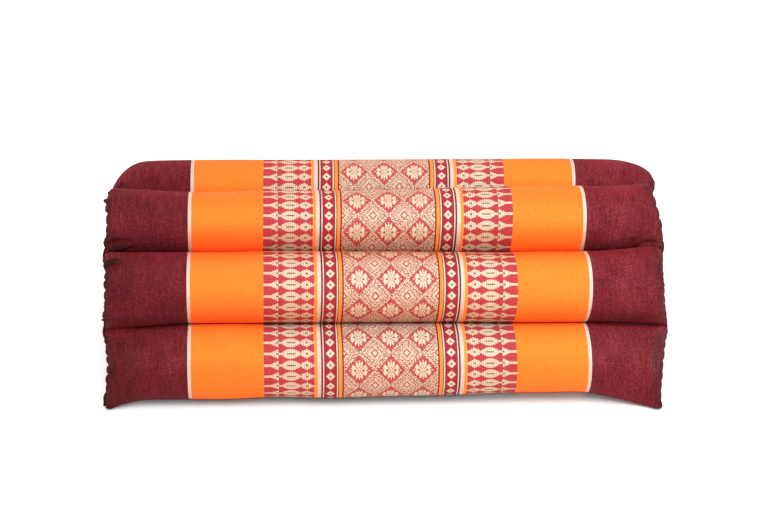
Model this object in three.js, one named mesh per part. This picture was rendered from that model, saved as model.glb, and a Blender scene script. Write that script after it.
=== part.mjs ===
// Floor cushion made of parallel stuffed tubes, bundled in three rows: four below, three above
// them and two on top. One cover runs round the bundle and is sewn down between the tubes, so
// the outside is a ring of eight round rolls with deep creases. At each end the cover is
// gathered onto a plain end panel.
//
// Millimetres. +X runs along the tubes, +Y to the back, +Z up.
// The origin is the middle of the underside, on the surface that the cushion lies on.

import * as THREE from 'three';

// Driving dimensions
const LENGTH = 530; // over the two gathered end seams
const BASE_RADIUS = 36; // the four tubes of the bottom row
const UPPER_RADIUS = 33.2; // the tubes above them
const BASE_SQUASH = 2.5; // how far the bottom row is pressed flat by its own weight
const CREASE_REACH = 10; // how far outside the line between two centres a crease ends
const CROWN = 0.01; // how much slimmer the bundle is near its ends than in the middle
const TAPER = 13; // length over which a tube closes down to the end seam
const LONG_TAPER = 42; // the same for the back tube of the top row, which is less full there
const HUG = 0.8; // share of the way from the straight between two seam corners to the skin
const SLACK_HUG = 0.12; // the same where the end seam runs nearly straight
const END_DRAW_IN = 4; // how far the end seam stands back between its corners
const PANEL_RECESS = 7; // how far the end panel's middle stands back from the corners
const EAR_ANGLE = 240; // where round the lowest rolls the cover's bottom corner lies, degrees
const ARC_STEP = 12; // facets round a roll, degrees
const TAPER_STATIONS = 9; // sections in each closing end
const MIDDLE_STATIONS = 6; // lengths between the closing ends
const CLOTH_COLOUR = 0xb5452f;
const CLOTH_ROUGHNESS = 0.72;

// Outer tubes of the front half, from the underside up. y and z are the tube's centre;
// seamY and seamZ are where the end seam passes between this tube and the next one up; hug
// says how closely the seam follows the tube from there down; earY and earZ are the bottom
// corner of the cover, which sticks out on the floor.
const BASE_Z = BASE_RADIUS - BASE_SQUASH;
const FRONT_TUBES = [
  { radius: BASE_RADIUS, y: -38, z: BASE_Z, seamY: -76, seamZ: 6, hug: 0 },
  { radius: BASE_RADIUS, y: -113.5, z: BASE_Z, seamY: -102, seamZ: 65, hug: HUG, earY: -139, earZ: 2 },
  { radius: UPPER_RADIUS, y: -88.6, z: 98, seamY: -62, seamZ: 117, hug: HUG },
  { radius: UPPER_RADIUS, y: -33.2, z: 135.8, seamY: 0, seamZ: 150, hug: HUG },
];
const UNDERSIDE_SEAM = new THREE.Vector2(0, 6);
const PANEL_MIDDLE_Z = 42; // height of the end panel's middle

// The back half mirrors the front, in the opposite order, so that the ring is one loop that
// starts in the middle of the underside, climbs the front and comes down the back.
function ringOfTubes() {
  const front = FRONT_TUBES.map((row, index) => ({
    radius: row.radius,
    centre: new THREE.Vector2(row.y, row.z),
    seamStart: index === 0 ? UNDERSIDE_SEAM : seamOf(FRONT_TUBES[index - 1]),
    seamEnd: seamOf(row),
    ear: row.earY === undefined ? null : new THREE.Vector2(row.earY, row.earZ),
    earAngle: THREE.MathUtils.degToRad(EAR_ANGLE),
    hug: row.hug,
    taper: TAPER,
  }));
  const back = front.map((tube) => ({
    radius: tube.radius,
    centre: mirrored(tube.centre),
    seamStart: mirrored(tube.seamEnd),
    seamEnd: mirrored(tube.seamStart),
    ear: tube.ear === null ? null : mirrored(tube.ear),
    earAngle: Math.PI - tube.earAngle,
    hug: tube.hug,
    taper: tube.taper,
  }));
  const backTop = back[back.length - 1];
  backTop.hug = SLACK_HUG;
  backTop.taper = LONG_TAPER;
  return [...front, ...back.reverse()];
}

function seamOf(row) {
  return new THREE.Vector2(row.seamY, row.seamZ);
}

function mirrored(point) {
  return new THREE.Vector2(-point.x, point.y);
}

// The bottom of the crease between two neighbouring rolls, midway between their skins.
// Seen from -X the ring runs clockwise, so the outside lies to the left of each step.
function creaseBetween(tube, next) {
  const step = next.centre.clone().sub(tube.centre);
  const outward = new THREE.Vector2(-step.y, step.x).normalize();
  const middle = (step.length() + tube.radius - next.radius) / (2 * step.length());
  return tube.centre.clone().addScaledVector(step, middle).addScaledVector(outward, CREASE_REACH);
}

function angleFrom(centre, point) {
  return Math.atan2(point.y - centre.y, point.x - centre.x);
}

// Angle turned clockwise from one direction to another, between 0 and a full turn.
function clockwiseTurn(from, to) {
  const fullTurn = 2 * Math.PI;
  return (((from - to) % fullTurn) + fullTurn) % fullTurn;
}

// One entry for each point of the section: the bottom of the crease before each roll, then
// the roll's own arc, each with the place on the flat end seam that it is gathered to.
function sectionPoints(tubes) {
  const points = [];
  tubes.forEach((tube, index) => {
    const crease = creaseBetween(tubes[(index + tubes.length - 1) % tubes.length], tube);
    const nextCrease = creaseBetween(tube, tubes[(index + 1) % tubes.length]);
    const start = angleFrom(tube.centre, crease);
    const sweep = clockwiseTurn(start, angleFrom(tube.centre, nextCrease));
    const earShare = tube.ear === null ? 0 : clockwiseTurn(start, tube.earAngle) / sweep;
    const facets = Math.round(THREE.MathUtils.radToDeg(sweep) / ARC_STEP);
    points.push({ place: crease, taper: tube.taper, ...seamPlace(tube, crease, 0, earShare) });
    for (let facet = 0; facet <= facets; facet += 1) {
      const share = (facet + 0.5) / (facets + 1);
      const direction = start - sweep * share;
      const offset = new THREE.Vector2(Math.cos(direction), Math.sin(direction));
      const place = tube.centre.clone().addScaledVector(offset, tube.radius);
      points.push({ place, taper: tube.taper, ...seamPlace(tube, place, share, earShare) });
    }
  });
  return points;
}

// Where a share of the way round a roll is sewn to the end seam, and how far along from one
// seam corner to the next that is. Between corners the seam bows out towards the skin, but
// not under the cushion, between the last corner and the ear.
function seamPlace(tube, place, share, earShare) {
  if (share < earShare) {
    const along = share / earShare;
    return { seam: tube.seamStart.clone().lerp(tube.ear, along), along };
  }
  const along = (share - earShare) / (1 - earShare);
  const start = tube.ear === null ? tube.seamStart : tube.ear;
  const hug = tube.hug * Math.sqrt(Math.sin(Math.PI * along));
  return { seam: start.clone().lerp(tube.seamEnd, along).lerp(place, hug), along };
}

// How full a roll is at a distance from its end: 0 at the seam, 1 past the taper.
function fullness(distance, taper) {
  const remaining = 1 - Math.min(distance / taper, 1);
  return (1 - remaining ** 2.2) ** 0.7;
}

// Stations along the length as distances from the left end, closer together at the ends.
function stations() {
  const taper = [];
  for (let step = 0; step < TAPER_STATIONS; step += 1) {
    taper.push(LONG_TAPER * (step / TAPER_STATIONS) ** 2);
  }
  const middle = [];
  for (let step = 0; step <= MIDDLE_STATIONS; step += 1) {
    middle.push(LONG_TAPER + ((LENGTH - 2 * LONG_TAPER) * step) / MIDDLE_STATIONS);
  }
  const closing = taper.map((distance) => LENGTH - distance).reverse();
  return [...taper, ...middle, ...closing];
}

function surfacePoint(point, fromLeft) {
  const full = fullness(Math.min(fromLeft, LENGTH - fromLeft), point.taper);
  const fromMiddle = fromLeft - LENGTH / 2;
  const drawIn = END_DRAW_IN * Math.sin(Math.PI * point.along) * (1 - full);
  const slimmer = 1 - CROWN * (fromMiddle / (LENGTH / 2)) ** 2;
  const x = fromMiddle - Math.sign(fromMiddle) * drawIn;
  const y = THREE.MathUtils.lerp(point.seam.x, point.place.x * slimmer, full);
  const z = THREE.MathUtils.lerp(point.seam.y, point.place.y * slimmer, full);
  return [x, y, Math.max(z, 0)];
}

// The skin is a grid of sections and stations, closed at each end by a fan of triangles
// round the middle of the end panel.
function cushionGeometry() {
  const points = sectionPoints(ringOfTubes());
  const cuts = stations();
  const around = points.length;
  const positions = cuts.flatMap((fromLeft) => (
    points.flatMap((point) => surfacePoint(point, fromLeft))
  ));
  const leftMiddle = cuts.length * around;
  const rightMiddle = leftMiddle + 1;
  positions.push(PANEL_RECESS - LENGTH / 2, 0, PANEL_MIDDLE_Z);
  positions.push(LENGTH / 2 - PANEL_RECESS, 0, PANEL_MIDDLE_Z);

  const triangles = [];
  for (let point = 0; point < around; point += 1) {
    const next = (point + 1) % around;
    for (let cut = 0; cut + 1 < cuts.length; cut += 1) {
      const here = cut * around;
      const beyond = here + around;
      triangles.push(here + point, beyond + point, beyond + next);
      triangles.push(here + point, beyond + next, here + next);
    }
    const last = (cuts.length - 1) * around;
    triangles.push(leftMiddle, point, next);
    triangles.push(rightMiddle, last + next, last + point);
  }

  const geometry = new THREE.BufferGeometry();
  geometry.setAttribute('position', new THREE.Float32BufferAttribute(positions, 3));
  geometry.setIndex(triangles);
  geometry.computeVertexNormals();
  return geometry;
}

const cloth = new THREE.MeshStandardMaterial({
  color: CLOTH_COLOUR,
  roughness: CLOTH_ROUGHNESS,
  metalness: 0,
});
const cushion = new THREE.Mesh(cushionGeometry(), cloth);
cushion.name = 'cushion';

const group = new THREE.Group();
group.add(cushion);

export default group;
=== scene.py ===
"""Looks of the stepped roll cushion: its stuffed cover, cloths, stitches, light and camera.

Lengths of the cushion and the camera are in millimetres, and of the floor and lights in metres.
"""

import math
from functools import partialmethod, reduce
from types import SimpleNamespace

import bpy
import numpy as np
from mathutils import Matrix, Vector


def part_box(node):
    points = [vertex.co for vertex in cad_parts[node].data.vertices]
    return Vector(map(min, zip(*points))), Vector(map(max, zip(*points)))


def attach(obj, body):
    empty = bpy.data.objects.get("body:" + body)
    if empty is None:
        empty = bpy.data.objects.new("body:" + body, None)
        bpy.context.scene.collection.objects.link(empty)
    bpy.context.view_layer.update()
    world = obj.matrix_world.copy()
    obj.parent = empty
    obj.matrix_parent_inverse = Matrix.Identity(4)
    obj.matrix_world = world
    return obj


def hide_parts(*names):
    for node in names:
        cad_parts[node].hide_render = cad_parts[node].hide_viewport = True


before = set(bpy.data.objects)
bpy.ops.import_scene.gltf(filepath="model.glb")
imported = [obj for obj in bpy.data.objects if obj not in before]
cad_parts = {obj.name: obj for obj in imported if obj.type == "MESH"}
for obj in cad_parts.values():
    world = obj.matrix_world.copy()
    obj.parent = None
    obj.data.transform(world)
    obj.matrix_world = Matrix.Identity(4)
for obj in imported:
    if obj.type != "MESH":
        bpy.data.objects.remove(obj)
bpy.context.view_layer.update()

MM = 0.001
LOW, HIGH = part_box("cushion")
HALF_LENGTH = (HIGH.x - LOW.x) / 2 / MM

# --- Shape ---

# Rolls of the front half, from the underside up: radius, the centre's y and z, and the y and z
# of the end seam's corner after the roll.
FRONT_ROLLS = [
    (36, -38, 33.5, (-76, 6)), (36, -113.5, 33.5, (-102, 65)), (33.2, -88.6, 98, (-62, 117)),
    (33.2, -33.2, 135.8, (0, 150)),
]
UNDERSIDE_SEAM = (0, 6)
EAR_ANGLE = math.radians(240)  # where the ear, the cover's bottom corner, is on its roll
ROLL_COLUMNS = [24, 170, 160, 150, 80, 50, 70, 24]  # of the mesh, round each roll
TUCK = 4.2  # how far a crease stays from the line between two centres
CREASE_LIFT = 2  # the same for the bottom of the crease
CROWN = 0.01  # how much slimmer the bundle is at its ends
END_DRAW_IN = 4  # how far the end seam stands back between its corners
FRONT_EAR_ROLL, BACK_EAR_ROLL = 1, 6  # the rolls of the ring that have an ear
LEFT, RIGHT = -1, 1
VIEW_TILT = math.radians(28.25)  # how steeply the camera looks down

# How the eight rolls close at each end. Hug is how far the end seam bows out to the skin, and
# taper the length over which the roll closes: in a curve with a round of 2.2, in a slope with
# one near 1, and fuller near the seam with a smaller blunt.
CLOSING_NAMES = ("hug_across", "hug_up", "taper", "round", "blunt")
UNDER_CLOSING = (0, 0, 12, 2.2, 0.7)
CLOSINGS = {
    LEFT: [
        UNDER_CLOSING, (0.85, 0.85, 12, 2.2, 0.6), (0.85, 0.85, 11, 2.2, 0.6),
        (0.75, 0.75, 11, 2.2, 0.6), (0.12, 0.12, 38, 2.2, 0.7), (0.75, 0.75, 15, 2.2, 0.7),
        (0.8, 0.8, 13, 2.2, 0.7), UNDER_CLOSING,
    ],
    RIGHT: [
        UNDER_CLOSING, (0.72, 0.9, 12, 1.3, 0.85), (0.72, 0.9, 12, 1.3, 0.85),
        (0.45, 0.9, 12, 1.3, 0.85), (0.4, 0.5, 46, 2.2, 0.56), (0.6, 0.8, 15, 2.2, 0.7),
        (0.6, 0.8, 13, 2.2, 0.7), UNDER_CLOSING,
    ],
}

# Places round the ring are counted in rolls: 2.5 is halfway round roll 2. How far the end
# stands back from its full length at such places.
SET_BACKS = {
    LEFT: [
        (0, 3), (1, 3), (1.5, 2), (1.6, 2.4), (1.72, 4.2), (1.9, 2.6), (2, 1.4), (2.25, 1.4),
        (2.4, 2), (2.55, 1.8), (2.64, 3.6), (2.7, 3.6), (2.78, 1.6), (3, 1), (3.2, 2.2), (3.4, 2),
        (3.5, 0.4), (3.6, 0.8), (3.66, 2.6), (3.74, 5), (3.9, 6), (4, 3), (4.1, -0.5),
        (4.4, -1.5), (6, 1), (8, 3),
    ],
    RIGHT: [
        (0, 5), (1, 9), (1.4, 10.2), (1.55, 8.8), (1.7, 7.8), (1.85, 5.2), (1.95, 1.4),
        (2.1, 2.4), (2.28, 5.2), (2.5, 7.8), (2.9, 5.2), (3.05, 2.4), (3.2, 3.2), (3.4, 8),
        (3.6, 11), (3.75, 7.5), (3.9, 6), (4.05, 5.5), (4.14, 1), (4.25, -3), (4.5, -3.5),
        (5, 2), (8, 5),
    ],
}
SET_BACK_REACH = 60  # length over which that is taken up

# How far the skin lies above its plain place, at the left end, the two edges of the band
# cloth with the middle between them, and the right end.
SWAY_PLACES = [0, 1, 1.42, 1.7, 2, 3, 3.75, 4, 4.45, 5, 6, 8]
SWAY = [
    [0, 0, 0.5, 0.5, -4, 3.5, 5, 2, 1, 0, 0, 0],
    [0, 0, 2, 1.5, 2, 2, -1, 0, 1, 0, 0, 0],
    [0, 0.5, 2.5, 1.5, 1.2, 0.2, 0, 0.5, 1, 0.5, 0, 0],
    [0, 1.5, 6, 2.5, 0, 0, 4.4, 3, 2.5, 1.5, 0, 0],
    [0, 0, 1, 1, -3.5, 5.8, 7, 5, 2.5, 1, 0, 0],
]

# The woven repeat, and its share at the point of each roll that faces the camera.
REPEAT = 32.3
ROLL_PHASE = [0, 0.25, -0.25, 0.25, 0.35, 0.25, -0.25, 0]

# How far the cloth's straight lines bow to the right between two creases, at places along X.
LINE_BOW = [(-186, 0), (-45, 1.2), (45, 1.6), (186, 2), (265, 0)]

# The ears sag to the floor: how far from the end that starts, and how far from it they are
# all the way down. Then the y and z of the front ear.
EAR_SAG = {LEFT: (34, 5), RIGHT: (90, 3)}
EARS = {LEFT: (-143, 2), RIGHT: (-155, 2)}
EAR_SPREAD = 0.36  # share of the roll on each side that sags with the ear
SAG_CURVE = 1.25  # over 1, the sag is strongest at the end
SMOOTHING = 6  # columns to each side over which values are averaged
RIM_SMOOTHING = 12  # the same for the end panel's rim
OUTWARD_SPAN = 7  # columns to each side that give the end seam's direction
LEAST_LENGTH = 1e-9  # keeps a normal from being divided by 0

# Distances of the plain cloth's mesh rows from the end.
TAPER_ROWS = [0, 0.12, 0.4, 0.8, 1.3, 2, 2.8, 3.7, 4.7, 5.8, 7, 8.3, 9.7, 11.2, 12.8,
              14.5, 16.3, 18.2, 20.3, 22.6, 25.2, 28.2, 31.6, 35.6, 40.2, 45.6, 52, 59.5, 69]
BAND_EDGE = 186  # half the width of the woven band cloth
MIDDLE_ROWS = 24  # mesh rows of the band cloth

# The lip of the end seam, from the roll to the panel: how far each step stands out of the end,
# and how far towards the skin.
LIP = [(-0.5, -1.4), (0.6, -1.5), (1.6, -0.6), (2.3, -1.5), (2.4, -3.4), (1.6, -4.9), (0.2, -5.6)]
LIP_BETWEEN = 0.5  # how much of the lip is left where a stitch draws it in
LIP_LEAST = 0.4  # how much of it would be left without gathers
PANEL_RINGS = [0.04, 0.09, 0.15, 0.22, 0.3, 0.4, 0.52, 0.66, 0.82]
PUCKERED = 0.15  # share of the way to its middle over which the panel puckers
PANEL_MIDDLE = (0, 42)
PANEL_RECESS = 7  # how far the panel's middle stands back from the end

# Places round the ring, and how strongly the band cloth is painted redder and darker there,
# between
# facing rolls: painted shade with the red light that the rolls throw on each other.
PAINTED_BOUNCE_PLACES = [
    (1.5, 0.45), (1.68, 0.4), (1.76, 0), (1.99, 0), (2, 0.7), (2.2, 1), (2.33, 0.5), (2.45, 0.05),
    (2.6, 0.05), (2.7, 0.5), (2.8, 0.95), (3, 0.7), (3.18, 0.72), (3.3, 0), (3.4, 0.05),
    (3.5, 0.4), (3.9, 0.35), (4.2, 0), (4.38, 0.4), (4.6, 0.4), (5, 0.2),
]

# Places round the ring, and what the plain cloth's red, green and blue are multiplied by: painted
# shade near the creases, and painted, redder sheen near the tops of the rolls.
PAINTED_LIGHT_TONES = [
    (1, 1, 1, 1), (1.5, 0.85, 0.66, 0.68), (1.61, 0.9, 0.68, 0.7), (1.66, 0.95, 0.76, 0.78),
    (1.71, 1.03, 1.05, 1.05), (1.85, 1.08, 1.14, 1.14), (1.89, 1.18, 1.26, 1.26),
    (1.93, 1.4, 1.3, 1.3), (1.98, 1.4, 1.15, 1.15), (2, 1, 0.8, 0.8), (2.2, 0.7, 0.5, 0.5),
    (2.25, 0.88, 0.62, 0.63), (2.3, 0.92, 0.72, 0.73), (2.4, 1, 0.84, 0.86), (2.5, 1, 0.92, 0.95),
    (2.6, 1, 0.9, 0.92), (2.7, 1.06, 0.78, 0.81), (2.8, 1.2, 0.72, 0.8), (2.86, 1.4, 0.95, 1.05),
    (3, 1, 0.8, 0.8), (3.11, 0.95, 0.77, 0.78), (3.21, 0.98, 0.86, 0.87), (3.4, 1.03, 0.95, 0.97),
    (3.48, 1.08, 0.84, 0.87), (3.53, 1.16, 0.76, 0.82), (3.65, 1.18, 0.8, 0.88), (4, 1, 0.9, 0.95),
    (4.3, 1.1, 0.9, 0.94), (4.5, 1.15, 0.88, 0.93), (5, 1, 1, 1),
]

# Shares of the way round a roll between which the painted shade beside an end fades in, and fades
# out again.
BESIDE_PLACES = (0.3, 0.5, 0.83, 0.93)


def outer_roll(index, side):
    """A roll of the front half, on side 1, or its mirror image, on side -1."""
    radius, y, z, end = FRONT_ROLLS[index]
    start = FRONT_ROLLS[index - 1][3] if index else UNDERSIDE_SEAM
    start, end = [np.array([corner[0] * side, corner[1]]) for corner in (start, end)[::side]]
    ear_angle = EAR_ANGLE if side == 1 else math.pi - EAR_ANGLE
    return SimpleNamespace(
        radius=radius, centre=np.array([y * side, z]), start=start, end=end, side=side,
        ear_angle=ear_angle if index == FRONT_EAR_ROLL else None,
    )


def ring_of_rolls():
    """The eight outer rolls as one ring that starts in the middle of the underside."""
    front = range(len(FRONT_ROLLS))
    return [outer_roll(i, 1) for i in front] + [outer_roll(i, -1) for i in reversed(front)]


def clockwise(start, end):
    """Angle turned clockwise from one direction to another."""
    return (start - end) % (2 * math.pi)


def ring_section():
    """The mesh columns round the section, as arrays with one entry for each."""
    rolls = ring_of_rolls()
    columns = []
    for index, roll in enumerate(rolls):
        columns += roll_columns(rolls[index - 1], roll, rolls[(index + 1) % len(rolls)], index)
    section = SimpleNamespace(**{
        name: np.array([column[name] for column in columns]) for name in columns[0]
    })
    section.ring = section.roll + section.share
    steps = np.linalg.norm(np.diff(section.place, axis=0), axis=1)
    section.arc = np.concatenate([[0], np.cumsum(steps)])
    section.loose = np.minimum(np.sin(np.pi * section.share) * CREASE_HOLD, 1)
    section.seam = {side: end_seam(section, rolls, side) for side in (LEFT, RIGHT)}
    return section


def roll_columns(before, roll, after, index):
    """The columns of one roll, which starts at the bottom of the crease before it."""
    towards = before.centre - roll.centre
    beyond = after.centre - roll.centre
    tuck = math.asin(TUCK / roll.radius)
    start = math.atan2(towards[1], towards[0]) - tuck
    sweep = clockwise(start, math.atan2(beyond[1], beyond[0]) + tuck)
    has_ear = roll.ear_angle is not None
    ear_share = clockwise(start, roll.ear_angle) / sweep if has_ear else 0
    lead = clockwise(math.pi - VIEW_TILT, start)
    lead -= 2 * math.pi * round(lead / (2 * math.pi))
    columns = []
    for column in range(ROLL_COLUMNS[index]):
        share = column / ROLL_COLUMNS[index]
        angle = start - sweep * share
        place = roll.centre + roll.radius * np.array([math.cos(angle), math.sin(angle)])
        if column == 0:
            step = towards / np.linalg.norm(towards)
            outward = np.array([step[1], -step[0]])
            place = roll.centre + step * roll.radius + outward * CREASE_LIFT
        from_ear = min(abs(share - ear_share) / EAR_SPREAD, 1) if has_ear else 1
        before_ear = has_ear and share < ear_share
        along = share / ear_share if before_ear else (share - ear_share) / (1 - ear_share)
        under = not FRONT_EAR_ROLL < index < BACK_EAR_ROLL
        if has_ear:
            under = before_ear == (index == FRONT_EAR_ROLL)
        columns.append({
            "place": place, "roll": index, "share": share, "along": along,
            "before_ear": before_ear, "under": under,
            "sag": math.cos(from_ear * math.pi / 2) ** 2,
            "cloth": roll.radius * (lead + sweep * share),
            "cloth_end": roll.radius * (lead + sweep),
        })
    return columns


def end_seam(section, rolls, side):
    """Where each column meets the end seam, which bows out except under the cushion."""
    straight = []
    for index, along, before_ear in zip(section.roll, section.along, section.before_ear):
        roll = rolls[index]
        start, end = roll.start, roll.end
        if roll.ear_angle is not None:
            ear = np.array([EARS[side][0] * roll.side, EARS[side][1]])
            start, end = (start, ear) if before_ear else (ear, end)
        straight.append(start + (end - start) * along)
    straight = np.array(straight)
    bow = np.sqrt(np.sin(np.pi * section.along))
    bow[section.under] = 0
    hug = [closing(section, side, name) * bow for name in ("hug_across", "hug_up")]
    bowed = straight + (section.place - straight) * np.stack(hug, axis=1)
    return smooth_ring(bowed, SMOOTHING)


def closing(section, side, name):
    """One of the numbers of CLOSINGS for each column."""
    return np.array(CLOSINGS[side])[section.roll, CLOSING_NAMES.index(name)]


def smooth_ring(values, reach):
    """Values round the ring, each averaged with its neighbours."""
    steps = np.arange(-reach, reach + 1)
    weights = np.cos(steps / (reach + 1) * math.pi / 2) ** 2
    shifted = [np.roll(values, -step, axis=0) * weight for step, weight in zip(steps, weights)]
    return sum(shifted) / weights.sum()


def fullness(section, side, distance):
    """How full the rolls are: 0 at the end seam, and 1 past the taper."""
    remaining = 1 - np.minimum(distance / closing(section, side, "taper"), 1)
    return (1 - remaining ** closing(section, side, "round")) ** closing(section, side, "blunt")


def smooth_step(share):
    return share * share * (3 - 2 * share)


def eased(value, low, high):
    """0 below low, 1 above high, and a smooth step between them."""
    return smooth_step(np.clip((value - low) / (high - low), 0, 1))


def within(value, places):
    """1 between the middle two of four places, fading to 0 at the outer two."""
    return eased(value, *places[:2]) * (1 - eased(value, *places[2:]))


def sway(rows, ring):
    """How far the skin of a row and place round the ring lies above its plain place."""
    stations = [-HALF_LENGTH, -BAND_EDGE, 0, BAND_EDGE, HALF_LENGTH]
    lifts = np.array([np.interp(ring, SWAY_PLACES, row) for row in SWAY])
    lifted = np.repeat(lifts[:1], len(rows), axis=0)
    for before, after, low, high in zip(lifts, lifts[1:], stations, stations[1:]):
        lifted += eased(rows, low, high)[:, None] * (after - before)[None, :]
    return smooth_ring(lifted.T, SMOOTHING).T


# --- Gathers and folds ---

# Single folds near each end: the place round the ring and the distance from the end where it
# starts, the same where it runs out, its depth and its width.
FOLDS = {
    LEFT: [
        (2.665, 3, 2.715, 16, 2.5, 2.1), (2.645, 3, 2.7, 12, 2.5, 2.1),
        (2.62, 3, 2.67, 8, 2.5, 2.1), (1.985, 3, 1.99, 26, 2.6, 2), (3.12, 2, 3.16, 14, 4.4, 1.9),
        (3.06, 11, 3.09, 24, 4.6, 2.1), (2.205, 2, 2.215, 7, 4, 1.5),
        (2.51, 2, 2.515, 5, 3.4, 1.7), (2.56, 2, 2.565, 4, 2.6, 1.6), (1.9, 2, 1.905, 5, 4.4, 2),
        (1.86, 2, 1.8, 2, 3, 1.5), (1.72, 3, 1.68, 7, 2.6, 1.5), (1.84, 17, 1.7, 22, 1.4, 4),
        (3.5, 2, 3.48, 4, 3, 1.8), (3.42, 2, 3.39, 4, 3, 1.8), (4.13, 5, 4.23, 18, 3.2, 2.2),
    ],
    RIGHT: [
        (3.03, 27, 3.13, 32, 2.2, 2), (3.01, 1, 3.01, 20, 5, 3), (2, 8, 2, 62, 3, 3),
        (2.45, 5, 2.65, 8, 1.6, 3),
    ],
}
RIDGE = 0.4  # height of the cloth beside a fold, as a share of its depth
RIDGE_PLACE = 1.9  # how far from the fold that is, in widths of the fold
RIDGE_START = 12  # distance from the end seam at which it is full
RIDGE_RISE = 1.5
FREE = 4  # distance from the end seam to where the cloth folds freely
CREASE_HOLD = 2.5  # how soon round a roll the cloth comes free of the crease

# Gathers of the end seams, which the stitches hold.
STITCH_PITCH = 10.4
UNEVEN_STITCHES = 0.35  # how far a stitch may lie from its place, in stitches
LUMPS = {LEFT: 1, RIGHT: 0.4}  # how strongly each end is gathered
END_SEEDS = {LEFT: 11, RIGHT: 29}
BULGE_SEED, LOBE_SEED, FILLING_SEED = 1, 7, 5  # the first two are added to the end's own
# Noises along an end seam: the values for each stitch, where they start, after how many they
# repeat, and what is added to the end's seed.
SEAM_NOISES = {"stitch": (0.37, 0, 97, 0), "wander": (0.21, 0, 61, 3), "wide": (0.45, 3.1, 89, 2)}
WANDER = 0.012  # stitches that a gather wanders aside in a millimetre
GATHER_HEIGHT = 1.9
BULGE_HEIGHTS, BULGE_REACHES = (0.5, 1.5), (5, 15)  # of the cloth between two stitches
BULGE_ROUND = 0.7  # 1 for a plain wave, less for a flat top between sharp valleys
BULGE_FADE = 1.5
DRAWN_IN, DRAWN_REACH = 0.62, 10  # how far the seam draws all of the cloth in, and where to
WIDE_HEIGHT, WIDE_START, WIDE_REACH = 1.1, 8, 30  # waves that are wider than a stitch
PIT_DEPTH = 0.6  # of the pits beside the stitches, as a share of how dark their painted shade is
PIT_PULL, PIT_SPREAD = 3.4, 1.5  # the strongest, and how uncommon strong ones are
PIT_WIDTH, PIT_MIDDLE, PIT_REACH = 2, 3, 2.2
LOBE_SIZES, LOBE_ROUND = (0.55, 1.1), 0.55  # of the seam's edge between two stitches
LOBE_LEVEL, LOBE_DEPTH, LOBE_REACH = 0.6, 1.6, 6

# Soft unevenness of the filling: its height and length, how its noise moves on with each roll
# and round it, and how far from the ends it is full.
FILLING_HEIGHT, FILLING_LENGTH, FILLING_SHIFT = 0.9, 52, 20
FILLING_BY_ROLL, FILLING_ROUND, FILLING_COUNTS = 2.3, 1.6, (23, 41)
FILLING_START = 20

# Painted shade, from 0 to 1, which darkens the cloth where it lies hollow. In a crease under
# the upper roll and on top of the lower one: how strong that painted shade is, and over what
# width.
CREASE_ABOVE, CREASE_BELOW = (0.85, 2.3), (0.6, 1)
ROLL_GIRTH = 144  # rough length of cloth round a roll, from crease to crease
UNDER_PLACES = (1.33, 1.38, 1.445, 1.485)  # where the lowest rolls turn under on the floor, with a painted contact shadow
UNDER_SHADE = 0.95
UNDER_FREE = 0.5  # share of the corner's sag from its end up to where that shade starts
FOLD_LEAST, FOLD_RANGE = 1.3, 1.2  # depth from which a fold is painted dark, and over which that painted shade deepens
PIT_RANGE, PIT_MOST = 2.6, 0.75
DENT_RANGE, DENT_MOST, DENT_REACH = 1.2, 0.7, 7

# Painted shade on the strip of cloth that turns in to the end seam: how clearly it shows, its
# width at places round the ring, the shares of that over which it fades out and how much more, and
# its tint. Then the tint of the painted shade on the cloth beside it, and how far that reaches.
TURNED_SHADE = {LEFT: 0.5, RIGHT: 1}
TURNED_WIDTH = {LEFT: [(1, 9)], RIGHT: [(3, 14), (3.08, 9)]}
TURNED_EDGES = (0.7, 1.1, 0.5)
TURNED_SHADE_TINT = (0.6, 1.04, 1)
BESIDE_SHADE_TINT = {LEFT: (0.76, 0.8, 0.8), RIGHT: (1, 1, 1)}
BESIDE_REACH = (22, 40)


def noise_field(across, along, counts, seed):
    """Random values at whole numbers of two coordinates, joined smoothly, that repeat."""
    table = np.random.default_rng(seed).uniform(-1, 1, counts)
    whole_a, whole_b = np.floor(across).astype(int), np.floor(along).astype(int)
    a, b = smooth_step(across - whole_a), smooth_step(along - whole_b)
    row, column = whole_a % counts[0], whole_b % counts[1]
    next_row, next_column = (row + 1) % counts[0], (column + 1) % counts[1]
    low = table[row, column] * (1 - b) + table[row, next_column] * b
    high = table[next_row, column] * (1 - b) + table[next_row, next_column] * b
    return low * (1 - a) + high * a


def seam_noise(kind, path, side):
    """A smooth random value for each place along an end seam."""
    pace, start, count, extra = SEAM_NOISES[kind]
    return noise_field(0, path * pace + start, (1, count), END_SEEDS[side] + extra)


def fading(distance, reach, power=2):
    """1 at no distance, and less and less past the reach."""
    return np.exp(-(distance / reach) ** power)


def gathers(path, distance, side, stitches):
    """How far the cloth stands out between stitches, and how deep the pits beside them are."""
    phase = stitch_phase(path, side) + WANDER * distance * seam_noise("wander", path, side)
    stitch = np.floor(phase).astype(int) % stitches
    draw = np.random.default_rng(END_SEEDS[side] + BULGE_SEED)
    height = draw.uniform(*BULGE_HEIGHTS, stitches)[stitch]
    reach = draw.uniform(*BULGE_REACHES, stitches)[stitch]
    bulge = height * np.abs(np.sin(np.pi * phase)) ** BULGE_ROUND
    bulge = bulge * fading(distance, reach, BULGE_FADE)
    drawn = DRAWN_IN * fading(distance, DRAWN_REACH, BULGE_FADE)
    fine = GATHER_HEIGHT * LUMPS[side] * (bulge - drawn)
    wide = WIDE_HEIGHT * seam_noise("wide", path, side) * fading(distance, WIDE_REACH)
    wide = wide * np.minimum(distance / WIDE_START, 1)

    nearest = np.round(phase).astype(int) % stitches
    pull = draw.uniform(0, 1, stitches)[nearest] ** PIT_SPREAD * PIT_PULL * LUMPS[side]
    aside = (phase - np.round(phase)) * STITCH_PITCH / PIT_WIDTH
    along = (distance - PIT_MIDDLE) / PIT_REACH
    return fine + wide, pull * np.exp(-aside ** 2 - along ** 2)


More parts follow.
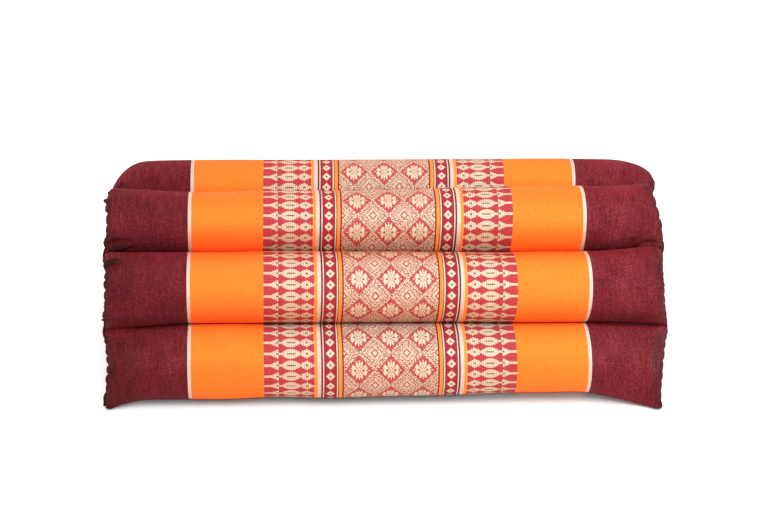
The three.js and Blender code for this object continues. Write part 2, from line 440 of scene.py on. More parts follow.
def fold_relief(section, side, distance):
    """Depth of the single folds, and height of the ridges beside them."""
    depth = np.zeros(distance.shape)
    ridge = np.zeros(distance.shape)
    for ring_a, from_a, ring_b, from_b, deep, width in FOLDS[side]:
        start = np.array([np.interp(ring_a, section.ring, section.arc), from_a])
        end = np.array([np.interp(ring_b, section.ring, section.arc), from_b])
        length = np.linalg.norm(end - start)
        step = (end - start) / length
        across = section.arc[None, :] - start[0]
        beyond = distance - start[1]
        along = across * step[0] + beyond * step[1]
        aside = across * step[1] - beyond * step[0]
        past = np.maximum(np.maximum(-along, along - length), 0)
        depth += deep * np.exp(-(aside / width) ** 2 - (past / width) ** 2)
        beside = (np.abs(aside) - RIDGE_PLACE * width) / width
        ridge += RIDGE * deep * np.exp(-beside ** 2 - (past / width) ** 2)
    return depth, ridge * np.minimum(distance / RIDGE_START, 1) ** RIDGE_RISE


# --- The cover's mesh ---

def row_distances():
    """Mesh rows as places along X from -HALF_LENGTH to HALF_LENGTH."""
    left = [distance - HALF_LENGTH for distance in TAPER_ROWS]
    middle = list(np.linspace(-BAND_EDGE, BAND_EDGE, MIDDLE_ROWS + 1))
    return np.array(left + middle + [-x for x in reversed(left)])


def stitch_path(section, side):
    """How many stitches round the end seam each column lies, and how many there are."""
    seam = section.seam[side]
    lengths = np.linalg.norm(np.roll(seam, -1, axis=0) - seam, axis=1)
    stitches = round(lengths.sum() / STITCH_PITCH)
    return np.concatenate([[0], np.cumsum(lengths)[:-1]]) * stitches / lengths.sum(), stitches


def outward_normals(grid):
    """Unit normals of a grid of points whose second axis closes on itself."""
    round_step = np.roll(grid, -1, axis=1) - np.roll(grid, 1, axis=1)
    long_step = np.gradient(grid, axis=0)
    normals = np.cross(round_step, long_step)
    length = np.linalg.norm(normals, axis=2, keepdims=True)
    return normals / np.maximum(length, LEAST_LENGTH)


def skin_grid(section):
    """The rolls' skin without its folds, as rows along X of columns round the section."""
    rows = row_distances()
    slimmer = 1 - CROWN * (rows / HALF_LENGTH)[:, None, None] ** 2
    skin = section.place[None] * slimmer
    skin[:, :, 1] += sway(rows, section.ring)
    grid = np.zeros((len(rows), len(section.ring), 3))
    for side in (LEFT, RIGHT):
        half = np.flatnonzero(rows * side >= 0)
        distance = (HALF_LENGTH - rows[half] * side)[:, None]
        far, near = EAR_SAG[side]
        sag = (1 - np.clip((distance - near) / (far - near), 0, 1)) ** SAG_CURVE * section.sag
        ear = np.abs(EARS[side][0]) * np.sign(section.place[:, 0])
        ear = np.stack([ear, np.full_like(ear, EARS[side][1])], axis=1)
        low = skin[half] + (ear[None] - skin[half]) * sag[:, :, None]
        full = fullness(section, side, distance)
        lift = sway(np.array([side * HALF_LENGTH]), section.ring) * (1 - section.sag)
        seam = section.seam[side] + lift.T * [0, 1]
        grid[half, :, 1:] = seam[None] + (low - seam[None]) * full[:, :, None]
        back = smooth_ring(np.interp(section.ring, *zip(*SET_BACKS[side])), SMOOTHING)
        back = back * (1 - np.minimum(distance / SET_BACK_REACH, 1)) ** 2
        draw_in = END_DRAW_IN * np.sin(np.pi * section.along) * (1 - full)
        grid[half, :, 0] = rows[half][:, None] - side * (draw_in + back)
    bow = np.interp(rows, *zip(*LINE_BOW))
    bulge = np.sin(np.pi * section.share) - 2 / math.pi
    grid[:, :, 0] += bow[:, None] * bulge[None, :]
    return rows, grid


def cloth_distance(grid, order):
    """How far each point of some rows lies from the first of them, along the cloth."""
    steps = np.linalg.norm(np.diff(grid[order], axis=0), axis=2)
    return np.concatenate([np.zeros((1, grid.shape[1])), np.cumsum(steps, axis=0)])


def add_folds(rows, grid, section):
    """The skin with gathers, folds and uneven filling, the painted shade of each point, and
    how strongly the painted shade of the strip that turns in shows."""
    normals = outward_normals(grid)
    moved = grid.copy()
    loose = section.loose
    # Painted shade in the creases and under the lowest rolls.
    painted_shade = painted_crease_and_floor_shade(rows, section)
    turned_shade = np.zeros(painted_shade.shape)
    for side in (LEFT, RIGHT):
        path, stitches = stitch_path(section, side)
        half = np.flatnonzero(np.sign(rows) == side)
        order = half if side == LEFT else half[::-1]
        distance = cloth_distance(grid, order)
        relief, pit = gathers(path[None, :], distance, side, stitches)
        depth, ridge = fold_relief(section, side, distance)
        lift = (relief - PIT_DEPTH * pit) * loose[None, :] + ridge - depth
        lift *= np.minimum(distance / FREE, 1)
        moved[order] += normals[order] * lift[:, :, None]
        wave = (seam_lobes(path, side, stitches) - LOBE_LEVEL) * LUMPS[side] * loose
        moved[order, :, 0] += side * LOBE_DEPTH * wave[None, :] * fading(distance, LOBE_REACH)
        # Painted shade in the folds, pits and dents.
        dark = painted_fold_shade(distance, depth, pit, relief)
        painted_shade[order] = np.maximum(painted_shade[order], dark)
        # Painted shade on the strip that turns in.
        turned_shade[order] = turned_strip_shade(section, side, distance)
    moved += normals * filling_relief(rows, section)[:, :, None]
    return moved, painted_shade, turned_shade


def painted_fold_shade(distance, depth, pit, relief):
    """Painted shade in folds, pits and the dents between gathers."""
    folds = np.clip((depth - FOLD_LEAST) / FOLD_RANGE, 0, 1)
    pits = np.clip(pit / PIT_RANGE, 0, PIT_MOST)
    dents = DENT_MOST * (np.clip(-relief / DENT_RANGE, 0, 1) * np.exp(-distance / DENT_REACH))
    return np.maximum(np.maximum(folds, pits), dents)


def turned_strip_shade(section, side, distance):
    """How strongly the painted shade shows on the strip that turns in to the end seam."""
    near, far, more = TURNED_EDGES
    width = np.interp(section.ring, *zip(*TURNED_WIDTH[side])) * section.loose
    return TURNED_SHADE[side] * (1 - eased(distance, near * width, far * width + more))


def filling_relief(rows, section):
    across = rows[:, None] / FILLING_LENGTH + FILLING_SHIFT
    along = section.roll * FILLING_BY_ROLL + section.share * FILLING_ROUND
    lumps = noise_field(across, along[None, :], FILLING_COUNTS, FILLING_SEED)
    full = np.minimum((HALF_LENGTH - np.abs(rows)) / FILLING_START, 1)[:, None]
    return FILLING_HEIGHT * lumps * section.loose[None, :] * full


def painted_crease_and_floor_shade(rows, section):
    """Painted shade in the creases between rolls, and a painted contact shadow where the lowest
    rolls meet the floor.
    """
    (above, reach_above), (below, reach_below) = CREASE_ABOVE, CREASE_BELOW
    crease = np.maximum(
        above * fading(section.share * ROLL_GIRTH, reach_above),
        below * fading((1 - section.share) * ROLL_GIRTH, reach_below),
    )
    # Painted contact shadow where the lowest rolls turn under on the floor.
    under = within(np.minimum(section.ring, len(ROLL_COLUMNS) - section.ring), UNDER_PLACES)
    far = np.array([EAR_SAG[LEFT if row < 0 else RIGHT][0] for row in rows])
    clear = eased(HALF_LENGTH - np.abs(rows), far * UNDER_FREE, far)
    return np.maximum(crease[None, :], UNDER_SHADE * under[None, :] * clear[:, None])


def stitch_phase(path, side):
    """Places along an end seam, counted in stitches that are unevenly spaced."""
    return path + UNEVEN_STITCHES * seam_noise("stitch", path, side)


def seam_lobes(path, side, stitches):
    """How far the end seam's edge stands out between two stitches, from 0 to about 1.1."""
    phase = stitch_phase(path, side)
    stitch = np.floor(phase).astype(int) % stitches
    draw = np.random.default_rng(END_SEEDS[side] + LOBE_SEED)
    size = draw.uniform(*LOBE_SIZES, stitches)[stitch]
    return np.abs(np.sin(np.pi * phase)) ** LOBE_ROUND * size


def seam_outward(seam):
    """Unit vectors in the end's plane that point from the end seam to the skin."""
    tangent = np.roll(seam, -OUTWARD_SPAN, axis=0) - np.roll(seam, OUTWARD_SPAN, axis=0)
    normal = np.stack([-tangent[:, 1], tangent[:, 0]], axis=1)
    return normal / np.linalg.norm(normal, axis=1, keepdims=True)


def end_rows(edge, side, section):
    """The rows of the end seam's lip and the end panel, and the panel's middle."""
    middle = np.array([side * (HALF_LENGTH - PANEL_RECESS), *PANEL_MIDDLE])
    away = seam_outward(section.seam[side])
    path, stitches = stitch_path(section, side)
    lobe = seam_lobes(path, side, stitches)
    swell = (LIP_BETWEEN + (1 - LIP_BETWEEN) * lobe) * (LIP_LEAST + (1 - LIP_LEAST) * LUMPS[side])
    rows = []
    for out, beside in LIP:
        row = edge.copy()
        row[:, 0] += side * out * swell
        row[:, 1:] += away * beside
        rows.append(row)
    rim = rows[-1]
    plain = smooth_ring(rim, RIM_SMOOTHING)
    for share in PANEL_RINGS:
        start = rim + (plain - rim) * min(share / PUCKERED, 1)
        ring = start + (middle - start) * share
        ring[:, 0] = start[:, 0] + (middle[0] - start[:, 0]) * math.sin(share * math.pi / 2)
        rows.append(ring)
    return np.array(rows), middle


def painted_end_shade(seam_shade):
    """Painted shade on the lip and the end panel, less and less away from the seam."""
    shares = [1] * len(LIP) + [max(1 - share / PUCKERED, 0) for share in PANEL_RINGS]
    return np.array(shares)[:, None] * seam_shade[None, :]


def closed_faces(row_count, columns):
    """Quads of a grid whose columns close on themselves, and triangles that close its ends
    round two points that follow the grid's."""
    here = np.arange(row_count * columns).reshape(row_count, columns)
    after = np.roll(here, -1, axis=1)
    quads = np.stack([here[:-1], after[:-1], after[1:], here[1:]], axis=2).reshape(-1, 4)
    centre = np.full(columns, here.size)
    left = np.stack([centre, after[0], here[0]], axis=1)
    right = np.stack([centre + 1, here[-1], after[-1]], axis=1)
    return quads.tolist() + left.tolist() + right.tolist()


def cover_mesh():
    """The cushion's cover as one closed mesh with the cloth's own coordinates."""
    section = ring_section()
    rows, grid = skin_grid(section)
    grid, painted_shade, turned_shade = add_folds(rows, grid, section)
    left, left_middle = end_rows(grid[0], LEFT, section)
    right, right_middle = end_rows(grid[-1], RIGHT, section)
    points = np.concatenate([left[::-1], grid, right])
    points[:, :, 2] = np.maximum(points[:, :, 2], 0)
    along = np.concatenate([np.full(len(left), rows[0]), rows, np.full(len(right), rows[-1])])
    # Painted shade spread onto the lips and end panels.
    painted_shade = np.concatenate([painted_end_shade(painted_shade[0])[::-1], painted_shade, painted_end_shade(painted_shade[-1])])
    row_count, columns = points.shape[:2]

    vertices = np.concatenate([points.reshape(-1, 3), [left_middle, right_middle]]) * MM
    mesh = bpy.data.meshes.new("cushion_cover")
    mesh.from_pydata(vertices.tolist(), [], closed_faces(row_count, columns))
    mesh.update()
    paint_coordinates(mesh, section, along)
    # Painted shade and red light reflected between the rolls, for the band cloth.
    deep = np.tile(np.interp(section.ring, *zip(*PAINTED_BOUNCE_PLACES)), row_count)
    # The painted shade and the band cloth's painted glow between rolls go to the mesh as point
    # attributes.
    for name, values in (("painted_shade", painted_shade), ("deep", deep)):
        layer = mesh.attributes.new(name, "FLOAT", "POINT")
        layer.data.foreach_set("value", np.append(values, [0, 0]).astype(np.float32))
    paint_light_and_shade(mesh, section, rows, turned_shade)
    mesh.shade_smooth()
    middle_of_face = (along[:-1] + along[1:]) / 2
    plain = np.repeat(np.abs(middle_of_face) > BAND_EDGE, columns)
    slots = np.concatenate([plain, np.ones(2 * columns, bool)]).astype(np.int32)
    mesh.polygons.foreach_set("material_index", slots)
    return mesh


def paint_light_and_shade(mesh, section, rows, turned_shade):
    """What multiplies the plain cloth's colour at each point of the mesh: painted shade and sheen
    round the rolls, and painted shade near the ends.
    """
    # Painted shade and sheen round the rolls.
    places, *channels = zip(*PAINTED_LIGHT_TONES)
    ring_light_tones = np.stack([np.interp(section.ring, places, values) for values in channels], axis=1)
    # Painted shade on the strip that turns in.
    strip = 1 + (np.array(TURNED_SHADE_TINT) - 1) * turned_shade[:, :, None]
    # Painted shade on the cloth beside the left end.
    beside = 1 - eased(HALF_LENGTH - np.abs(rows), *BESIDE_REACH)
    raised = within(section.share, BESIDE_PLACES)
    beside_shade_tints = np.array([BESIDE_SHADE_TINT[LEFT if row < 0 else RIGHT] for row in rows])
    strip *= 1 + (beside_shade_tints - 1)[:, None, :] * beside[:, None, None] * raised[None, :, None]
    lip, rings = (len(LIP),) * 2, (len(PANEL_RINGS),) * 2
    tone = ring_light_tones * np.pad(strip, (lip, (0, 0), (0, 0)), "edge")
    tone = np.pad(tone, (rings, (0, 0), (0, 1)), constant_values=1)
    colours = np.concatenate([tone.reshape(-1, 4), np.ones((2, 4))]).astype(np.float32)
    layer = mesh.attributes.new("tone", "FLOAT_COLOR", "POINT")
    layer.data.foreach_set("color", colours.ravel())


def paint_coordinates(mesh, section, along):
    """UV map in metres: u runs along the rolls, and v round them."""
    phase = np.array(ROLL_PHASE)[section.roll] * REPEAT
    v_start = section.cloth + phase
    v_end = np.roll(v_start, -1)
    last = np.diff(section.roll, append=-1) != 0
    v_end[last] = (section.cloth_end + phase)[last]
    here, beyond = along[:-1, None], along[1:, None]
    corners = [(here, v_start), (here, v_end), (beyond, v_end), (beyond, v_start)]
    quads = np.stack([np.stack(np.broadcast_arrays(u, v), 2) for u, v in corners], axis=2)
    fans = np.zeros((2 * len(v_start) * 3, 2))
    uv = np.concatenate([quads.reshape(-1, 2), fans]) * MM
    lay_panels_flat(mesh, uv, *quads.shape[:2])
    layer = mesh.uv_layers.new(name="cloth")
    layer.data.foreach_set("uv", uv.astype(np.float32).ravel())


def lay_panels_flat(mesh, uv, rows, columns):
    """Gives the end panels flat coordinates of their own, which keep the sign of u."""
    side = np.zeros(rows + 2)  # of each row of faces and of the two fans
    side[:len(PANEL_RINGS)] = side[-2] = LEFT
    side[-2 - len(PANEL_RINGS):-2] = side[-1] = RIGHT
    side = np.repeat(side, [4 * columns] * rows + [3 * columns] * 2)
    vertex = np.zeros(len(mesh.loops), np.int32)
    mesh.loops.foreach_get("vertex_index", vertex)
    places = np.zeros(3 * len(mesh.vertices), np.float32)
    mesh.vertices.foreach_get("co", places)
    places = places.reshape(-1, 3)[vertex]
    panel = side != 0
    uv[panel, 0] = side[panel] * 2 * HALF_LENGTH * MM + places[panel, 1]
    uv[panel, 1] = places[panel, 2]


# --- Colours and cloths ---

EXPOSURE = 1.8  # how much brighter than their own colour the light makes cloths look


def linear(*channels):
    """The linear colour of one on the usual 0 to 255 scale, with no channel under 11."""
    return tuple(((channel / 255 + 0.055) / 1.055) ** 2.4 for channel in channels) + (1,)


def cloth_colour(*channels):
    """The linear colour of a cloth that looks like this when lit."""
    return tuple(channel / EXPOSURE for channel in linear(*channels)[:3]) + (1,)


ORANGE = (0.95, 0.158, 0.016, 1)
BURGUNDY = cloth_colour(114, 30, 36)
BURGUNDY_LIGHT = cloth_colour(156, 56, 64)
BURGUNDY_DARK = cloth_colour(78, 12, 16)
RIGHT_END_PAINTED_LIGHT = (1.36, 1.66, 1.64, 1)  # painted light: how much paler the plain cloth is at the right end
WHITE_LINE = cloth_colour(255, 224, 210)
CREAM = cloth_colour(252, 230, 200)
PATTERN_RED = cloth_colour(212, 58, 66)
PATTERN_DARK = cloth_colour(136, 80, 62)
DIAMOND_RED = cloth_colour(194, 48, 68)
MAROON = cloth_colour(150, 56, 46)
DARK_LINE = cloth_colour(134, 44, 42)
NARROW_ORANGE = (0.92, 0.22, 0.035, 1)
# Painted shade: the near-black colour that creases, folds, pits and the lowest rolls' undersides
# are darkened towards.
PAINTED_SHADE_COLOUR = (0.02, 0.003, 0.003, 1)
PAINTED_SHADE_STRENGTH = 0.92  # how much of that painted shade shows where it is strongest
PAINTED_BOUNCE_TINT = (0.9, 0.58, 0.45, 1)  # painted shade and reflected red light: what the band cloth's colour is multiplied by between rolls
KNOT_TINT = (0.72, 0.6, 0.5, 1)
BAND_PAINTED_LIGHT = (1.02, 1.18, 1.18, 1)  # painted light: how much paler the band cloth is at its right edge

# Stripes of the band cloth from its middle out: where each starts, and its colour.
FLOWER_EDGE = 43.4
DIAMOND_INNER, DIAMOND_OUTER = 50.7, 60.5
SIDE_INNER, SIDE_EDGE = 70.4, 116.5
STRIPES = [
    (FLOWER_EDGE, MAROON), (44.9, NARROW_ORANGE), (47.8, DARK_LINE), (48.6, WHITE_LINE),
    (49.8, DARK_LINE), (DIAMOND_INNER, DIAMOND_RED), (DIAMOND_OUTER, DARK_LINE),
    (61.4, WHITE_LINE), (62.5, DARK_LINE), (64.1, WHITE_LINE), (67.5, NARROW_ORANGE),
    (SIDE_INNER, PATTERN_RED), (SIDE_EDGE, ORANGE), (183, WHITE_LINE),
]

# A quarter of a rosette of the flower panel, from its middle out to the right and up: # is a
# cream float, x a dark thread, and . the red ground.
ROSETTE = [
    "###..x##.##.",
    "#.##.###....",
    "##.######...",
    "x##x####....",
    "####.###....",
    "#.##..#.....",
    "####........",
    "#.##........",
    "#..#........",
    "#...........",
]
HALF_REPEAT = 16  # cells from a rosette's middle to the middle of the small diamond beside it
ROSETTE_REACH = 13  # cells across and up, added up, that the rosette's red ground takes

# Rings round a small diamond, from its middle out. Besides the marks above, s is cream with
# specks, and m an even mix of cream, red and dark specks.
RINGS = "###..ssms.smm.smmm.."
CREAM_LEVEL = 0.49  # what the speck noise must pass to show cream in an even mix
MORE_CREAM = 0.11  # how much lower that is in cream with specks
DARK_LEVEL = 0.53  # what another noise must pass to show a dark thread in the rest
FLOWER_CELL = 0.915

# Columns of the side band from its outer edge in: half the height of each cream float, and of
# the dark dash in its middle.
SIDE_CHART = [
    (1.1, 0), (1.2, 0), (1.1, 0), (1.3, 0), (2.2, 0), (3.1, 0), (4.1, 0.7), (1, 0), (1.1, 0),
    (2.5, 0), (3.6, 0), (4.3, 0.5), (4.6, 0.5), (4.5, 0.5), (4.2, 0.5), (3.2, 0), (2.2, 0), (1, 0),
    (2.7, 0), (3.4, 0), (4.3, 0.8), (3.2, 0), (2, 0), (1.1, 0),
]
FLOWER_FLECK = 0.17  # how much cream shows in the flecks of the flower panel's red ground
SIDE_FLECK = 0.06  # the same in the side bands
TICK = 0.36  # share of each column that is the thread between two floats
TICK_SHADE = 0.45  # how much of the float that thread covers
SIDE_CELL = 1.92
SIDE_SCALE = 8  # brings the heights of SIDE_CHART below 1
ROW_PITCH = REPEAT / 3
DIAMOND_MIDDLE = 55.6
DIAMOND_HALF_WIDTH, DIAMOND_HALF_HEIGHT = 4.1, 4.4
DIAMOND_DOT = 0.28  # size of the dark dot as a share of the diamond's
BIT_MARGIN = 0.0005  # keeps a mark from being lost to rounding

# Noises of the cloths: their size along and round the rolls in mm, their detail and a seed.
NOISES = {
    "fleck": (1.2, 1.2, 0, 31), "cream speck": (1.15, 1.15, 0, 21),
    "dark speck": (1.2, 1.2, 0, 23), "band slub": (0.9, 14, 2, 1),
    "band speck": (1.7, 1.5, 2, 4), "band knot": (2.6, 1.2, 3, 15), "band weave": (0.7, 0.7, 2, 7),
    "slub": (1.3, 22, 3, 2), "cross thread": (9, 1.2, 2, 5), "speck": (1.2, 1.4, 1, 9),
    "patch": (26, 34, 2, 12),
}
BAND_GRAIN, PLAIN_GRAIN = 0.8, 0.85  # width of a thread
SLUB_SWING, SPECK_SWING, GRAIN_SWING = 0.22, 0.3, 0.24
KNOT_LEVEL, KNOT_SHARPNESS = 0.66, 7
RAISED, WOVEN = 0.6, 0.7  # how high the floats stand, and the threads of the ground
THREAD_STRENGTH, THREAD_DEPTH = 0.35, 0.4
# How strongly each noise sways the plain cloth between its light and its dark thread.
SLUB_SWAY, CROSS_SWAY, SPECK_SWAY, GRAIN_SWAY, PATCH_SWAY = 0.9, 0.4, 0.3, 0.5, 0.5

LOOK_NAMES = (
    "Roughness", "Specular IOR Level", "Sheen Weight", "Sheen Roughness", "Sheen Tint",
)
BAND_LOOK = (0.8, 0.12, 0.02, 0.5, linear(255, 220, 190))
PLAIN_LOOK = (0.85, 0.12, 0.12, 0.45, linear(235, 60, 70))


class Wire:
    """An output of a cloth's nodes. Sums and comparisons of wires add nodes of their own."""

    def __init__(self, cloth, socket):
        self.cloth, self.socket = cloth, socket

    def math(self, operation, *others):
        return self.cloth.math(operation, self, *others)

    def math_after(self, operation, first):
        return self.cloth.math(operation, first, self)

    def scaled(self, factor, start):
        return self.math("MULTIPLY_ADD", factor, start)

    def swing(self, strength):
        """A factor that swings by this much round 1 as the wire goes from 0 to 1."""
        return self.scaled(strength, 1 - strength / 2)

    __add__ = partialmethod(math, "ADD")
    __radd__ = partialmethod(math_after, "ADD")
    __sub__ = partialmethod(math, "SUBTRACT")
    __rsub__ = partialmethod(math_after, "SUBTRACT")
    __mul__ = partialmethod(math, "MULTIPLY")
    __truediv__ = partialmethod(math, "DIVIDE")
    __mod__ = partialmethod(math, "FLOORED_MODULO")
    __rpow__ = partialmethod(math_after, "POWER")
    __gt__ = partialmethod(math, "GREATER_THAN")
    __lt__ = partialmethod(math, "LESS_THAN")
    __abs__ = partialmethod(math, "ABSOLUTE")
    __floor__ = partialmethod(math, "FLOOR")


class Cloth:
    """A node material. u runs along the rolls and v round them, in millimetres."""

    def __init__(self, name, look):
        self.material = bpy.data.materials.new(name)
        self.material.use_nodes = True
        self.tree = self.material.node_tree
        self.shader = self.tree.nodes["Principled BSDF"]
        self.fill(self.shader, dict(zip(LOOK_NAMES, look)))
        uv = self.add("UVMap", {}, uv_map="cloth")
        self.u = self.add("SeparateXYZ", {0: uv}, "X") * (1 / MM)
        self.v = self.add("SeparateXYZ", {0: uv}, "Y") * (1 / MM)

    def fill(self, node, inputs):
        """Gives a node's inputs their values or wires."""
        for key, value in inputs.items():
            if isinstance(value, Wire):
                self.tree.links.new(value.socket, node.inputs[key])
            else:
                node.inputs[key].default_value = value

    def add(self, kind, inputs, output=0, **settings):
        node = self.tree.nodes.new("ShaderNode" + kind)
        for name, value in settings.items():
            setattr(node, name, value)
        self.fill(node, inputs)
        return Wire(self, node.outputs[output])

    def math(self, operation, *values):
        return self.add("Math", dict(enumerate(values)), operation=operation)

    def mix(self, share, first, second, blend="MIX"):
        inputs = {0: share, 6: first, 7: second}
        return self.add("Mix", inputs, 2, data_type="RGBA", blend_type=blend)

    def noise(self, name):
        across, along, detail, seed = NOISES[name]
        place = self.add("CombineXYZ", {0: self.u / across, 1: self.v / along, 2: seed})
        return self.add("TexNoise", {"Vector": place, "Scale": 1, "Detail": detail})

    def grain(self, width):
        """A number from 0 to 1 for each crossing of threads of this width."""
        crossing = {0: math.floor(self.u / width), 1: math.floor(self.v / width)}
        place = self.add("CombineXYZ", crossing)
        return self.add("TexWhiteNoise", {"Vector": place}, "Value", noise_dimensions="2D")

    def chart_row(self, index, rows):
        """Looks a row of up to three numbers up in a constant ramp, as its colours."""
        row = self.add("ValToRGB", {0: (index + 0.5) / len(rows)})
        ramp = row.socket.node.color_ramp
        ramp.interpolation = "CONSTANT"
        ramp.elements.remove(ramp.elements[1])
        for number, values in enumerate(rows):
            stop = ramp.elements.new(number / len(rows)) if number else ramp.elements[0]
            stop.position = number / len(rows)
            stop.color = tuple(values) + (0,) * (3 - len(values)) + (1,)
        return [self.add("SeparateColor", {0: row}, channel) for channel in range(len(rows[0]))]

    def of_mesh(self, name, output="Fac"):
        """A number or colour that the mesh carries at its points."""
        return self.add("Attribute", {}, output, attribute_name=name)

    def finish(self, colour, relief):
        """The material, with painted shade in creases and folds, and raised threads."""
        # Painted shade: the mesh's value mixes the colour towards near-black.
        painted_shade = self.of_mesh("painted_shade") * PAINTED_SHADE_STRENGTH
        bump = {"Strength": THREAD_STRENGTH, "Distance": THREAD_DEPTH * MM, "Height": relief}
        colour = self.mix(painted_shade, colour, PAINTED_SHADE_COLOUR)
        self.fill(self.shader, {"Base Color": colour, "Normal": self.add("Bump", bump)})
        return self.material


def mirrored_cell(position):
    """The chart's cell at a position counted in cells, mirrored at each half repeat."""
    cell = math.floor(position + 0.5)
    return abs((cell + HALF_REPEAT) % (2 * HALF_REPEAT) - HALF_REPEAT)


def chart_bit(packed, column, columns):
    """1 where the chart's packed row has its mark in a column."""
    whole = packed * 2 ** columns
    return math.floor(whole / 2 ** (columns - 1 - column) + BIT_MARGIN) % 2


def packed_row(row, marks):
    bits = "".join("1" if cell in marks else "0" for cell in row)
    return int(bits, 2) / 2 ** len(row)


def flower_mark(row, column):
    """The mark of one cell of a quarter of the flower repeat."""
    if row + column < ROSETTE_REACH:
        inside = row < len(ROSETTE) and column < len(ROSETTE[0])
        return ROSETTE[row][column] if inside else "."
    return RINGS[2 * HALF_REPEAT - row - column]


def flower_chart():
    """A quarter of the flower repeat, as rows of marks from a rosette's middle up."""
    size = range(HALF_REPEAT + 1)
    return ["".join(flower_mark(row, column) for column in size) for row in size]


def flower_panel(cloth, distance):
    """Cream and dark marks of the flower chart."""
    chart = flower_chart()
    column = mirrored_cell(distance / FLOWER_CELL)
    row = mirrored_cell(cloth.v / (REPEAT / (2 * HALF_REPEAT)))
    rows = [tuple(packed_row(text, marks) for marks in ("#s", "x", "sm")) for text in chart]
    cream, dark, speckled = [
        chart_bit(packed, column, len(chart)) for packed in cloth.chart_row(row, rows)
    ]
    shows = cloth.noise("cream speck") > cream.scaled(-MORE_CREAM, CREAM_LEVEL)
    darker = cloth.noise("dark speck") > DARK_LEVEL
    return cream * (1 - speckled) + speckled * shows, dark + speckled * ((1 - shows) * darker)


def height_in_row(cloth):
    """Distance from the middle of the nearest row of floats."""
    return abs(cloth.v / ROW_PITCH % 1 - 0.5) * ROW_PITCH


def side_band(cloth, distance, height):
    """Cream floats and dark dashes of the side band."""
    position = (SIDE_EDGE - distance) / SIDE_CELL
    rows = [(half / SIDE_SCALE, dash / SIDE_SCALE) for half, dash in SIDE_CHART]
    half, dash = cloth.chart_row(math.floor(position), rows)
    inside = height < half * SIDE_SCALE
    cream = inside * (height > dash * SIDE_SCALE)
    between = position.math("FRACT") < TICK
    return cream * between.scaled(-TICK_SHADE, 1), inside - cream


def diamond_column(distance, height):
    """Cream diamonds with a dark dot."""
    reach = abs(distance - DIAMOND_MIDDLE) / DIAMOND_HALF_WIDTH + height / DIAMOND_HALF_HEIGHT
    dot = reach < DIAMOND_DOT
    return (reach < 1) - dot, dot


def band_cloth():
    """The woven band: stripes, side bands, diamond columns and the flower panel, with painted
    light and shade.
    """
    cloth = Cloth("band_cloth", BAND_LOOK)
    distance = abs(cloth.u)
    colour = PATTERN_RED
    for start, stripe in STRIPES:
        colour = cloth.mix(distance > start, colour, stripe)

    height = height_in_row(cloth)
    in_flower = distance < FLOWER_EDGE
    in_side = (distance > SIDE_INNER) * (distance < SIDE_EDGE)
    in_diamonds = (distance > DIAMOND_INNER) * (distance < DIAMOND_OUTER)
    fleck = in_flower.scaled(FLOWER_FLECK, in_side * SIDE_FLECK)
    colour = cloth.mix((cloth.noise("fleck") > 0.5) * fleck, colour, CREAM)
    raised = 0
    for (cream, dark), zone in (
        (flower_panel(cloth, distance), in_flower),
        (side_band(cloth, distance, height), in_side),
        (diamond_column(distance, height), in_diamonds),
    ):
        colour = cloth.mix(dark * zone, colour, PATTERN_DARK)
        colour = cloth.mix(cream * zone, colour, CREAM)
        raised = raised + cream * zone

    slub, speck = cloth.noise("band slub"), cloth.noise("band speck")
    tone = slub.swing(SLUB_SWING) * speck.swing(SPECK_SWING)
    colour = cloth.mix(1, colour, tone * cloth.grain(BAND_GRAIN).swing(GRAIN_SWING), "MULTIPLY")
    knots = (cloth.noise("band knot") - KNOT_LEVEL) * KNOT_SHARPNESS
    colour = cloth.mix(knots, colour, KNOT_TINT, "MULTIPLY")
    # Painted shade and reflected red light between the rolls.
    colour = cloth.mix(cloth.of_mesh("deep"), colour, PAINTED_BOUNCE_TINT, "MULTIPLY")
    # Painted light: the band cloth grows paler towards the right.
    painted_light_share = cloth.u.scaled(0.5 / BAND_EDGE, 0.5)
    colour = cloth.mix(painted_light_share, colour, BAND_PAINTED_LIGHT, "MULTIPLY")
    return cloth.finish(colour, raised.scaled(RAISED, cloth.noise("band weave") * WOVEN))


def plain_cloth():
    """The burgundy cloth: light and dark threads, with slubs round the rolls, and painted light
    and shade.
    """
    cloth = Cloth("burgundy_cloth", PLAIN_LOOK)
    slub, speck = cloth.noise("slub"), cloth.noise("speck")
    share = 0.5
    for pattern, strength in (
        (slub, SLUB_SWAY), (cloth.noise("cross thread"), CROSS_SWAY), (speck, SPECK_SWAY),
        (cloth.grain(PLAIN_GRAIN), GRAIN_SWAY), (cloth.noise("patch"), PATCH_SWAY),
    ):
        share = (pattern - 0.5).scaled(strength, share)
    colour = cloth.mix((share - 0.5) * 2, BURGUNDY, BURGUNDY_LIGHT)
    colour = cloth.mix((0.5 - share) * 2, colour, BURGUNDY_DARK)
    # Painted light: the right half of the plain cloth is paler.
    colour = cloth.mix(cloth.u > 0, colour, RIGHT_END_PAINTED_LIGHT, "MULTIPLY")
    # Painted light and shade from the mesh's tone.
    colour = cloth.mix(1, colour, cloth.of_mesh("tone", "Color"), "MULTIPLY")
    return cloth.finish(colour, slub + speck)


# --- The object ---

def add_object(name, data):
    item = bpy.data.objects.new(name, data)
    bpy.context.scene.collection.objects.link(item)
    return item


def cushion_cover():
    cover = add_object("cushion_cover", cover_mesh())
    cover.data.materials.append(band_cloth())
    cover.data.materials.append(plain_cloth())
    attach(cover, "root")
    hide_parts("cushion")


# --- Floor, light and camera ---

FLOOR_SIZE = 8
FLOOR_LOOK = {
    "Base Color": (0.97, 0.97, 0.97, 1), "Roughness": 0.9, "Specular IOR Level": 0.1,
}
WHITE = (1, 1, 1, 1)
LIGHT_AIM = (0, 0, 0.08)
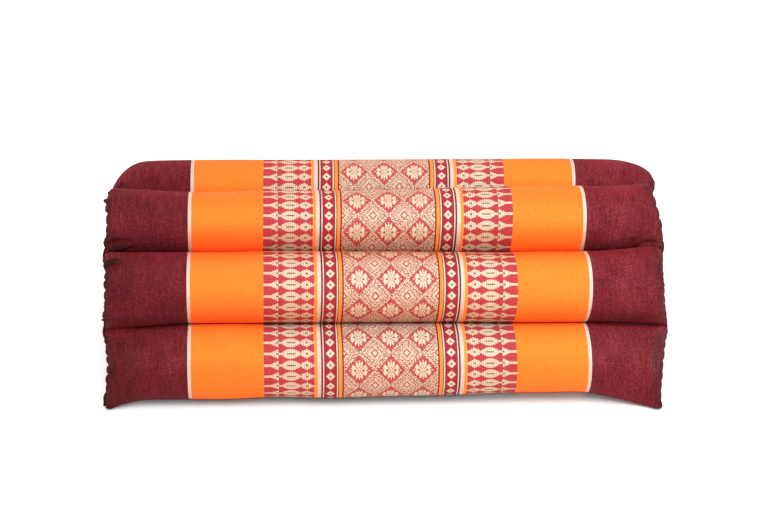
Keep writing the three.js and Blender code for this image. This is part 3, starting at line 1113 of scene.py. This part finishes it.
# Each soft light's place, what it points at, its width and its power.
LIGHTS = {
    "key": ((0.1, -1.3, 1.95), LIGHT_AIM, 1.2, 34),
    "side": ((0.7, -1.5, 0.9), LIGHT_AIM, 0.9, 6),
    "rear": ((-0.9, 1.3, 1.5), (0, 0, 0), 1, 14),
}
CAMERA_TARGET, CAMERA_DISTANCE = (6.9, 0, 79.7), 1775
CAMERA_TURN, CAMERA_ROLL = math.radians(-4.08), math.radians(1.58)
CAMERA_LENS, CAMERA_SENSOR = 83.5, 36


def floor():
    half = FLOOR_SIZE / 2
    mesh = bpy.data.meshes.new("floor")
    corners = [(-half, -half, 0), (half, -half, 0), (half, half, 0), (-half, half, 0)]
    mesh.from_pydata(corners, [], [(0, 1, 2, 3)])
    mesh.update()
    material = bpy.data.materials.new("pale_floor")
    material.use_nodes = True
    for name, value in FLOOR_LOOK.items():
        material.node_tree.nodes["Principled BSDF"].inputs[name].default_value = value
    mesh.materials.append(material)
    add_object("floor", mesh)


def area_light(name, place, aim, size, power):
    data = bpy.data.lights.new(name, "AREA")
    data.shape, data.size, data.energy = "DISK", size, power
    light = add_object(name, data)
    light.location = place
    light.rotation_euler = (Vector(aim) - Vector(place)).to_track_quat("-Z", "Y").to_euler()


def studio_light():
    world = bpy.data.worlds.new("studio")
    world.use_nodes = True
    background = world.node_tree.nodes["Background"]
    background.inputs["Color"].default_value = WHITE
    bpy.context.scene.world = world
    for name, light in LIGHTS.items():
        area_light(name, *light)


def camera():
    data = bpy.data.cameras.new("camera")
    data.lens, data.sensor_width = CAMERA_LENS, CAMERA_SENSOR
    steps = [
        Matrix.Translation(Vector(CAMERA_TARGET) * MM), Matrix.Rotation(CAMERA_TURN, 4, "Z"),
        Matrix.Rotation(math.pi / 2 - VIEW_TILT, 4, "X"), Matrix.Rotation(CAMERA_ROLL, 4, "Z"),
        Matrix.Translation((0, 0, CAMERA_DISTANCE * MM)),
    ]
    item = add_object("camera", data)
    item.matrix_world = reduce(Matrix.__matmul__, steps)
    bpy.context.scene.camera = item


cushion_cover()
floor()
studio_light()
camera()
bpy.context.scene.view_settings.view_transform = "Standard"
